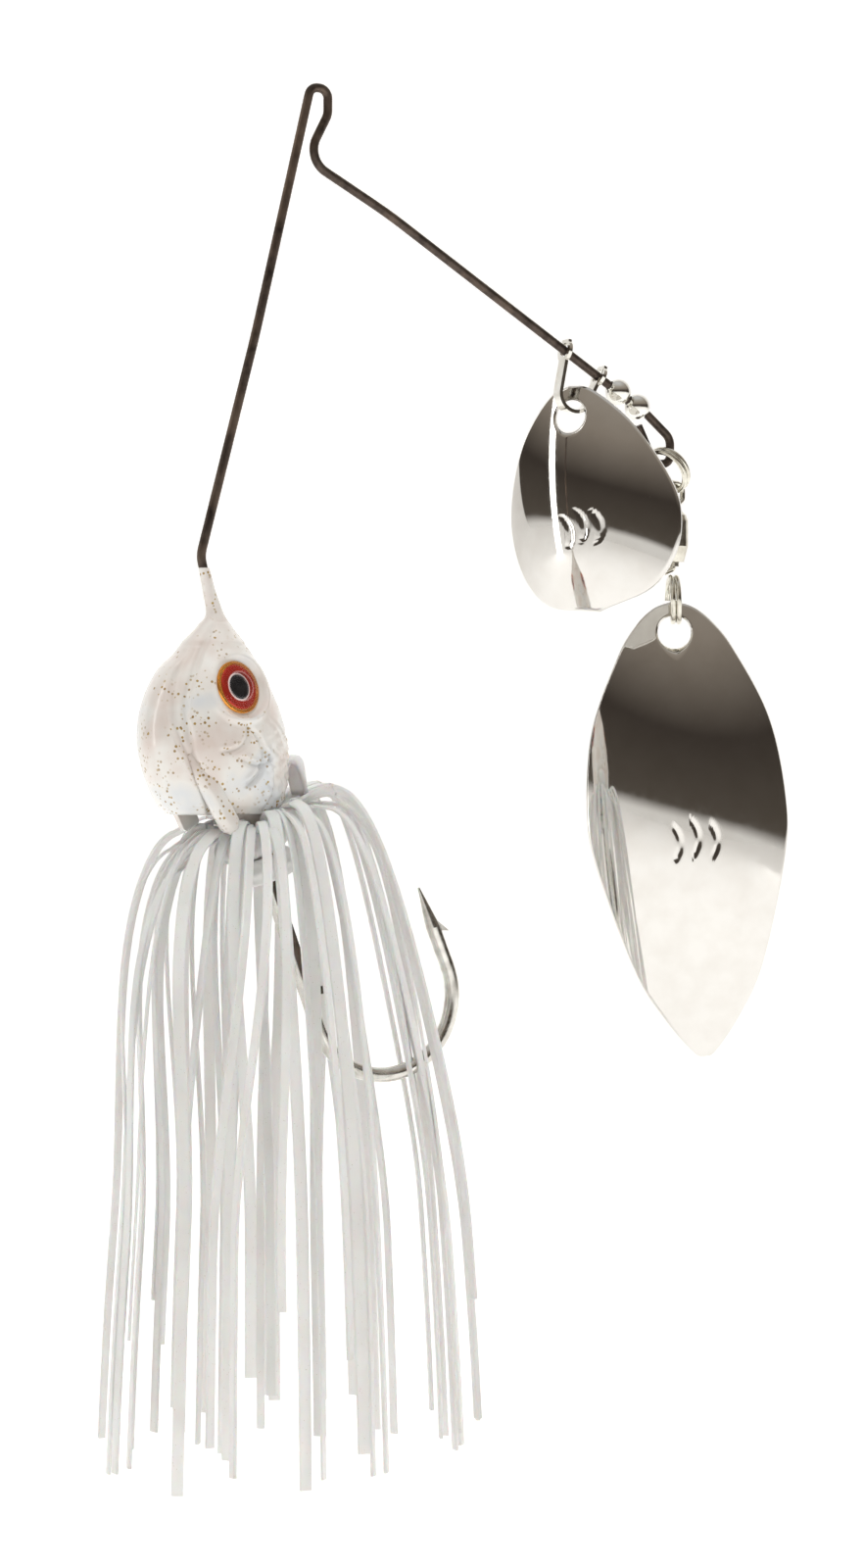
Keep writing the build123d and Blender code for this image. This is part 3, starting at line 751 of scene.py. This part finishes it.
# ---------------------------------------------------------------- assemble
dark_wire = wire_material()
bright = metal("bright_nickel", (0.80, 0.79, 0.75), (0.66, 0.64, 0.58), 0.07, 0.10, 600.0)
ring_metal = metal("ring_wire", (0.72, 0.70, 0.62), (0.50, 0.47, 0.40), 0.12, 0.12, 900.0)
hook_metal = metal("hook_tin", (0.74, 0.73, 0.69), (0.52, 0.50, 0.46), 0.14, 0.14, 700.0)
blade_metal = metal("blade_mirror", (0.70, 0.685, 0.655), (0.66, 0.64, 0.605), 0.035, 0.03, 350.0, 0.01)
pearl = head_material()
silicone = skirt_material()
collar = plain("collar_rubber", (0.88, 0.88, 0.86), 0.45)
gold_foil = plain("eye_gold", (0.80, 0.34, 0.06), 0.22, Metallic=0.8)
red_foil = plain("eye_red", (0.52, 0.035, 0.02), 0.25, Metallic=0.55)
pale_ring = plain("eye_ring", (0.86, 0.74, 0.72), 0.3)
pupil_black = plain("eye_pupil", (0.006, 0.006, 0.008), 0.12)
clear = plain("eye_resin", (0.99, 0.99, 0.99), 0.02, Transmission_Weight=1.0, IOR=1.45, Alpha=0.28)

for node, mat in (
    ("wire_form", dark_wire),
    ("trailer_keeper", dark_wire),
    ("hook", hook_metal),
    ("clevis", bright),
    ("bead_upper", bright),
    ("bead_lower", bright),
    ("split_ring_upper", ring_metal),
    ("split_ring_lower", ring_metal),
    ("swivel_body", ring_metal),
    ("swivel_top_eye", ring_metal),
    ("swivel_rotor", ring_metal),
    ("swivel_bearing", bright),
):
    paint_node(node, mat)

build_head(pearl)
for side, name in ((-1, "left"), (1, "right")):
    build_eye(side, name, (gold_foil, red_foil, pale_ring, pupil_black, clear))
build_skirt(silicone, collar)
swing = Vector(joints["colorado_swing"]["pos_m"]) / MM
colorado_hole = swing + COLORADO_SHIFT
build_blade(
    "colorado_mirror", "colorado_blade", "colorado", colorado_hole,
    (-0.829038, -0.559193, 0.0), (-0.082654, 0.12254, 0.989016),
    COLORADO_HALF, (3.45, -21.5), 3.6, (15.5, 46.0), -9.5, 0.55, ((0.4, -12.2), 2.9), blade_metal,
)
ring_at = Vector(joints["willow_swing"]["pos_m"]) / MM
willow_hole = ring_at + WILLOW_SHIFT
build_blade(
    "willow_mirror", "willow_blade", "willow", willow_hole,
    (-0.469472, -0.882948, 0.0), (-0.066202, 0.0352, 0.997185),
    WILLOW_HALF, (3.45, -47.2), WILLOW_HOLE_D, (19.0, 95.0), -20.0, 0.55, ((0.8, -22.8), 3.3), blade_metal,
)

# ---------------------------------------------------------------- stage
YAW = math.radians(28.0)
RIGHT = Vector((math.cos(YAW), -math.sin(YAW), 0))
AHEAD = Vector((math.sin(YAW), math.cos(YAW), 0))
CAMERA_AT = (RIGHT * 11.7 - AHEAD * 350.0 + Vector((0, 0, -72.0))) * MM

cam_data = bpy.data.cameras.new("camera")
cam = bpy.data.objects.new("camera", cam_data)
bpy.context.scene.collection.objects.link(cam)
cam.location = CAMERA_AT
cam.rotation_mode = "QUATERNION"
cam.rotation_quaternion = AHEAD.to_track_quat("-Z", "Y")
cam_data.sensor_fit = "AUTO"
cam_data.sensor_width = 36.0
cam_data.lens = 36.0 * 3430.0 / 1600.0
cam_data.clip_start, cam_data.clip_end = 0.01, 50.0
bpy.context.scene.camera = cam


def stage_material(name, colour):
    mat, tree, shader = material(name)
    noise = texture(tree, "ShaderNodeTexNoise", Scale=3.0, Detail=2.0)
    dim = tuple(c * 0.985 for c in colour)
    tone = ramp(tree, noise.outputs["Fac"], [(0.3, (*dim, 1)), (0.7, (*colour, 1))])
    tree.links.new(tone, shader.inputs["Base Color"])
    shader.inputs["Roughness"].default_value = 0.9
    shader.inputs["Specular IOR Level"].default_value = 0.1
    shader.inputs["Emission Color"].default_value = (1.0, 1.0, 0.995, 1)
    shader.inputs["Emission Strength"].default_value = 0.40
    return mat


FLOOR_Z = -0.149


def build_floor():
    """Floor that curves up into a wall behind the lure."""
    wide, near, far, bend = 2.5, -1.2, 1.1, 0.5
    line = [(near, 0.0), (0.0, 0.0)]
    for k in range(25):
        a = math.pi / 2 * k / 24
        line.append((far - bend + bend * math.sin(a), bend - bend * math.cos(a)))
    line.append((far, 2.5))
    verts, faces = [], []
    for ahead, up in line:
        for across in (-wide, wide):
            verts.append(AHEAD * ahead + RIGHT * across + Vector((0, 0, FLOOR_Z + up)))
    for k in range(len(line) - 1):
        faces.append((2 * k, 2 * k + 1, 2 * k + 3, 2 * k + 2))
    return new_object("floor", verts, faces, stage_material("pale_floor", (0.95, 0.95, 0.945)))


build_floor()


def area(name, at, target, size, size_y, power, mirrored=False):
    data = bpy.data.lights.new(name, "AREA")
    data.shape = "RECTANGLE"
    data.size, data.size_y, data.energy = size, size_y, power
    obj = bpy.data.objects.new(name, data)
    bpy.context.scene.collection.objects.link(obj)
    obj.location = at
    obj.rotation_mode = "QUATERNION"
    obj.rotation_quaternion = (Vector(target) - Vector(at)).to_track_quat("-Z", "Y")
    obj.visible_glossy = mirrored
    return obj


middle = Vector((0.01, 0, -0.08))
area("top", middle + Vector((0, 0, 0.75)) - AHEAD * 0.2, middle, 0.7, 0.7, 3.6)
area("left", middle - RIGHT * 0.6 - AHEAD * 0.15 + Vector((0, 0, 0.1)), middle, 0.06, 0.9, 0.7, mirrored=True)
area("right", middle + RIGHT * 0.65 - AHEAD * 0.25 + Vector((0, 0, 0.35)), middle, 0.30, 0.8, 1.0)

world = bpy.data.worlds.new("studio")
bpy.context.scene.world = world
world.use_nodes = True
tree = world.node_tree
tree.nodes.clear()
out = tree.nodes.new("ShaderNodeOutputWorld")
pale = tree.nodes.new("ShaderNodeBackground")
pale.inputs["Color"].default_value = (1.0, 1.0, 1.0, 1)
pale.inputs["Strength"].default_value = 1.0
room = tree.nodes.new("ShaderNodeBackground")
room.inputs["Strength"].default_value = 1.0
coord = tree.nodes.new("ShaderNodeTexCoord")
split = tree.nodes.new("ShaderNodeSeparateXYZ")
tree.links.new(coord.outputs["Generated"], split.inputs[0])
height = tree.nodes.new("ShaderNodeMapRange")
height.inputs["From Min"].default_value = -1.0
height.inputs["From Max"].default_value = 1.0
tree.links.new(split.outputs["Z"], height.inputs["Value"])
tree.links.new(
    ramp(
        tree,
        height.outputs["Result"],
        [
            (0.0, (0.66, 0.655, 0.64, 1)),
            (1.0, (0.62, 0.62, 0.62, 1)),
            (0.485, (0.85, 0.83, 0.80, 1)),
            (0.50, (0.10, 0.085, 0.07, 1)),
            (0.60, (0.055, 0.045, 0.038, 1)),
            (0.72, (0.30, 0.26, 0.22, 1)),
            (0.85, (0.42, 0.38, 0.33, 1)),
        ],
    ),
    room.inputs["Color"],
)
path = tree.nodes.new("ShaderNodeLightPath")
mix = tree.nodes.new("ShaderNodeMixShader")
tree.links.new(path.outputs["Is Camera Ray"], mix.inputs[0])
tree.links.new(room.outputs[0], mix.inputs[1])
tree.links.new(pale.outputs[0], mix.inputs[2])
tree.links.new(mix.outputs[0], out.inputs[0])
bpy.context.scene.view_settings.view_transform = "Standard"
